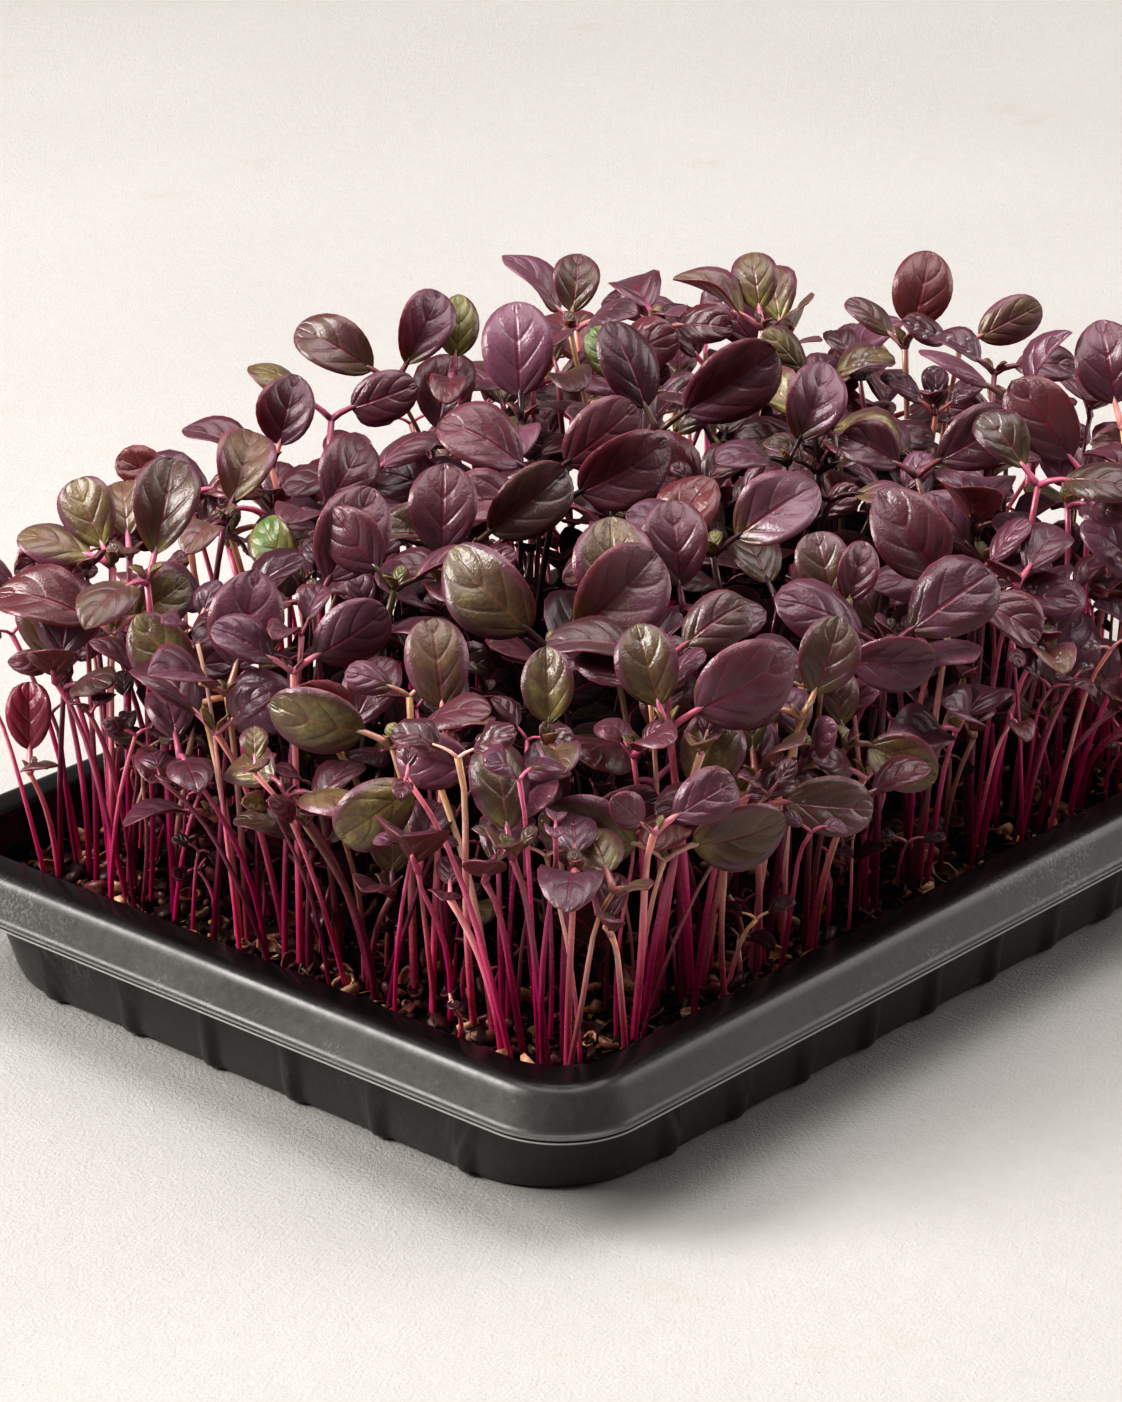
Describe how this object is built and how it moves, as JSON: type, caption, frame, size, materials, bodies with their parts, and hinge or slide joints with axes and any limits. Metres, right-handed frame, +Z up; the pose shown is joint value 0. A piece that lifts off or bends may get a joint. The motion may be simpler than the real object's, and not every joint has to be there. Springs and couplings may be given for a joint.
{
  "type": "basil microgreens tray",
  "caption": "Shallow ribbed plastic tray with a bed of growing mix and a dense stand of purple basil seedlings.",
  "frame": {"origin": "centre of the tray's flat underside", "axes": "+X along the tray's long side, +Y along its short side, +Z up"},
  "size_m": [0.187, 0.137, 0.0859],
  "materials": {
    "black_plastic": "gloss",
    "growing_mix": "matte",
    "purple_leaf": "satin"
  },
  "bodies": {
    "root": {"tray": "black_plastic", "growing_mix": "growing_mix", "seedlings_01": "purple_leaf", "seedlings_02": "purple_leaf", "seedlings_03": "purple_leaf", "seedlings_04": "purple_leaf", "seedlings_05": "purple_leaf", "seedlings_06": "purple_leaf", "seedlings_07": "purple_leaf", "seedlings_08": "purple_leaf", "seedlings_09": "purple_leaf", "seedlings_10": "purple_leaf", "seedlings_11": "purple_leaf", "seedlings_12": "purple_leaf", "seedlings_13": "purple_leaf", "seedlings_14": "purple_leaf", "seedlings_15": "purple_leaf", "seedlings_16": "purple_leaf", "seedlings_17": "purple_leaf", "seedlings_18": "purple_leaf", "seedlings_19": "purple_leaf", "seedlings_20": "purple_leaf", "seedlings_21": "purple_leaf", "seedlings_22": "purple_leaf", "seedlings_23": "purple_leaf", "seedlings_24": "purple_leaf", "seedlings_25": "purple_leaf", "seedlings_26": "purple_leaf", "seedlings_27": "purple_leaf", "seedlings_28": "purple_leaf", "seedlings_29": "purple_leaf", "seedlings_30": "purple_leaf", "seedlings_31": "purple_leaf", "seedlings_32": "purple_leaf", "seedlings_33": "purple_leaf", "seedlings_34": "purple_leaf", "seedlings_35": "purple_leaf", "seedlings_36": "purple_leaf", "seedlings_37": "purple_leaf", "seedlings_38": "purple_leaf", "seedlings_39": "purple_leaf", "seedlings_40": "purple_leaf", "seedlings_41": "purple_leaf", "seedlings_42": "purple_leaf", "seedlings_43": "purple_leaf", "seedlings_44": "purple_leaf", "seedlings_45": "purple_leaf", "seedlings_46": "purple_leaf", "seedlings_47": "purple_leaf", "seedlings_48": "purple_leaf", "seedlings_49": "purple_leaf", "seedlings_50": "purple_leaf", "seedlings_51": "purple_leaf", "seedlings_52": "purple_leaf"}
  },
  "joints": []
}
